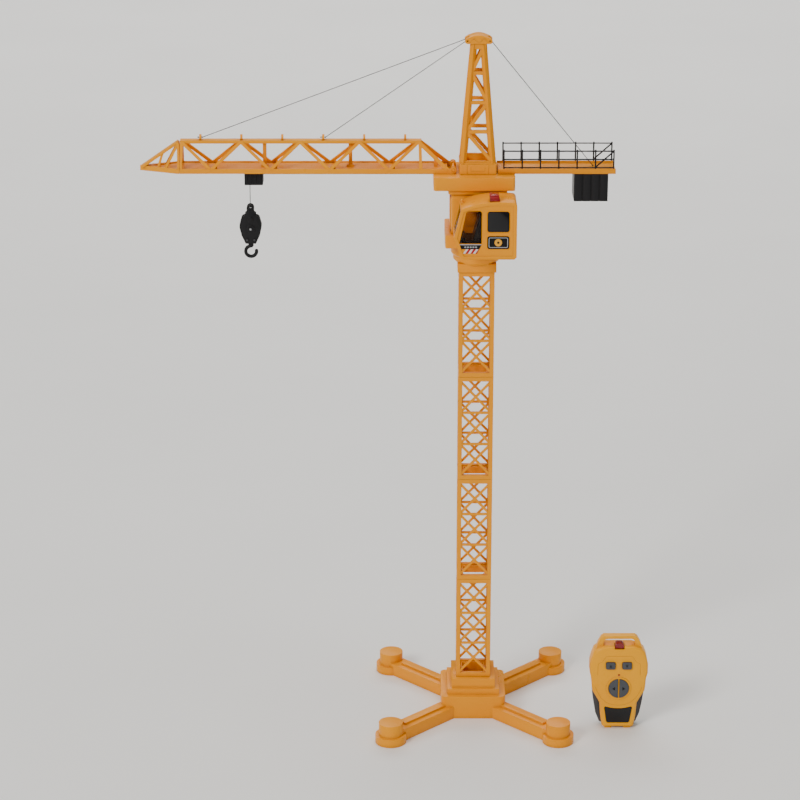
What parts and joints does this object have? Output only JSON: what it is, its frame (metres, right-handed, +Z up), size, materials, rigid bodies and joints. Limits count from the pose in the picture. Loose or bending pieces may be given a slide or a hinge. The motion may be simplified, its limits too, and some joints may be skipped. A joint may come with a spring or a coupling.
{
  "type": "toy tower crane",
  "caption": "Toy tower crane: lattice mast on a four-armed base, slewing turret with side cab, trussed jib with trolley and hook, railed counter-jib, and its hand remote.",
  "frame": {"origin": "centre of the base's underside, on the mast axis, at floor level", "axes": "+Z up the mast, -X toward the jib tip, -Y toward the cab side"},
  "size_m": [0.703, 0.28, 0.9898],
  "materials": {
    "yellow_plastic": "satin injection-moulded orange-yellow",
    "orange_plastic": "shaded orange interior moulding",
    "black_plastic": "fine-grained black",
    "grey_plastic": "satin grey",
    "dark_glazing": "smoked glossy sheet",
    "red_lens": "translucent dark red",
    "white_nylon": "natural nylon",
    "steel": "plain",
    "circuit_board": "solder mask",
    "string": "thin braided cord"
  },
  "bodies": {
    "base": {"base_frame": "yellow_plastic", "base_cover": "black_plastic", "mast_section_1": "yellow_plastic", "mast_section_2": "yellow_plastic", "mast_section_3": "yellow_plastic", "mast_section_4": "yellow_plastic", "mast_collar": "yellow_plastic", "slew_gear": "white_nylon"},
    "turret": {"turret_flange": "yellow_plastic", "turret_shell_front": "yellow_plastic", "turret_shell_rear": "yellow_plastic", "turret_platform": "yellow_plastic", "slew_motor": "steel", "hoist_motor": "steel", "control_board": "circuit_board", "battery_pack": "grey_plastic", "charging_socket": "steel", "cab_shell": "yellow_plastic", "cab_inner_wall": "orange_plastic", "cab_windshield": "dark_glazing", "cab_side_window": "dark_glazing", "cab_rear_window": "dark_glazing", "cab_seat": "black_plastic", "roof_light_lens": "red_lens", "head_lattice": "yellow_plastic", "head_cap": "yellow_plastic", "jib_deck": "yellow_plastic", "jib_truss_front": "yellow_plastic", "jib_truss_rear": "yellow_plastic", "jib_top_chord": "yellow_plastic", "jib_nose": "yellow_plastic", "jib_hinge_pin": "yellow_plastic", "counter_jib_deck": "yellow_plastic", "railing_front": "black_plastic", "railing_rear": "black_plastic", "counterweight": "black_plastic", "pendant_line_tip": "string", "pendant_line_middle": "string", "pendant_line_counter": "string", "hoist_line_jib": "string"},
    "slew_pinion_shaft": {"slew_pinion": "white_nylon"},
    "winch": {"winch_drum": "white_nylon"},
    "switch_knob": {"power_switch": "black_plastic"},
    "trolley": {"trolley_body": "black_plastic", "hoist_line_drop": "string"},
    "trolley_wheel": {"trolley_pulley": "grey_plastic"},
    "hook_block": {"hook_plate_front": "black_plastic", "hook_plate_rear": "black_plastic", "hook_sheave_pin": "steel"},
    "sheave": {"hook_sheave": "black_plastic"},
    "hook": {"crane_hook": "black_plastic"},
    "remote": {"remote_top_shell": "yellow_plastic", "remote_bottom_shell": "grey_plastic", "remote_lens": "red_lens", "remote_window": "dark_glazing", "remote_board": "circuit_board"},
    "raise_key": {"remote_button_up": "grey_plastic"},
    "lower_key": {"remote_button_down": "grey_plastic"},
    "turn_left_key": {"remote_button_left": "grey_plastic"},
    "turn_right_key": {"remote_button_right": "grey_plastic"}
  },
  "joints": [
    {"name": "slew", "type": "hinge", "parent": "base", "child": "turret", "pos_m": [0, 0, 0.703], "axis": [0, 0, 1], "continuous": true},
    {"name": "pinion_spin", "type": "hinge", "parent": "turret", "child": "slew_pinion_shaft", "pos_m": [-0.02625, 0, 0.71], "axis": [0, 0, 1], "continuous": true},
    {"name": "trolley_travel", "type": "slide", "parent": "turret", "child": "trolley", "axis": [-1, 0, 0], "range_m": [-0.19, 0.078], "deforming": ["hoist_line_jib"]},
    {"name": "hoist", "type": "slide", "parent": "trolley", "child": "hook_block", "axis": [0, 0, 1], "range_m": [-0.66, 0.022], "deforming": ["hoist_line_drop"]},
    {"name": "winch_spin", "type": "hinge", "parent": "turret", "child": "winch", "pos_m": [-0.012, 0, 0.79], "axis": [0, 1, 0], "range_deg": [-5830, 200]},
    {"name": "trolley_pulley_spin", "type": "hinge", "parent": "trolley", "child": "trolley_wheel", "pos_m": [-0.303, 0, 0.791], "axis": [0, 1, 0], "range_deg": [-6890, 235]},
    {"name": "sheave_spin", "type": "hinge", "parent": "hook_block", "child": "sheave", "pos_m": [-0.3088, 0, 0.72], "axis": [0, 1, 0], "continuous": true},
    {"name": "hook_swivel", "type": "hinge", "parent": "hook_block", "child": "hook", "pos_m": [-0.3088, 0, 0.69], "axis": [0, 0, 1], "continuous": true},
    {"name": "power_switch_slide", "type": "slide", "parent": "turret", "child": "switch_knob", "axis": [0, 1, 0], "range_m": [0, 0.004]},
    {"name": "remote_lift", "type": "slide", "parent": "base", "child": "remote", "axis": [0, 0, 1], "range_m": [0, 0.15]},
    {"name": "raise_press", "type": "slide", "parent": "remote", "child": "raise_key", "axis": [0, 1, 0], "range_m": [0, 0.0015], "stiffness_N_per_m": 800, "springref_m": -0.0005},
    {"name": "lower_press", "type": "slide", "parent": "remote", "child": "lower_key", "axis": [0, 1, 0], "range_m": [0, 0.0015], "stiffness_N_per_m": 800, "springref_m": -0.0005},
    {"name": "turn_left_press", "type": "slide", "parent": "remote", "child": "turn_left_key", "axis": [0, 1, 0], "range_m": [0, 0.0015], "stiffness_N_per_m": 800, "springref_m": -0.0005},
    {"name": "turn_right_press", "type": "slide", "parent": "remote", "child": "turn_right_key", "axis": [0, 1, 0], "range_m": [0, 0.0015], "stiffness_N_per_m": 800, "springref_m": -0.0005}
  ],
  "couplings": [
    {"joint": "pinion_spin", "follows": "slew", "ratio": 3.2},
    {"joint": "winch_spin", "follows": "hoist", "rad_per_m": 153.85},
    {"joint": "trolley_pulley_spin", "follows": "hoist", "rad_per_m": 181.82}
  ]
}
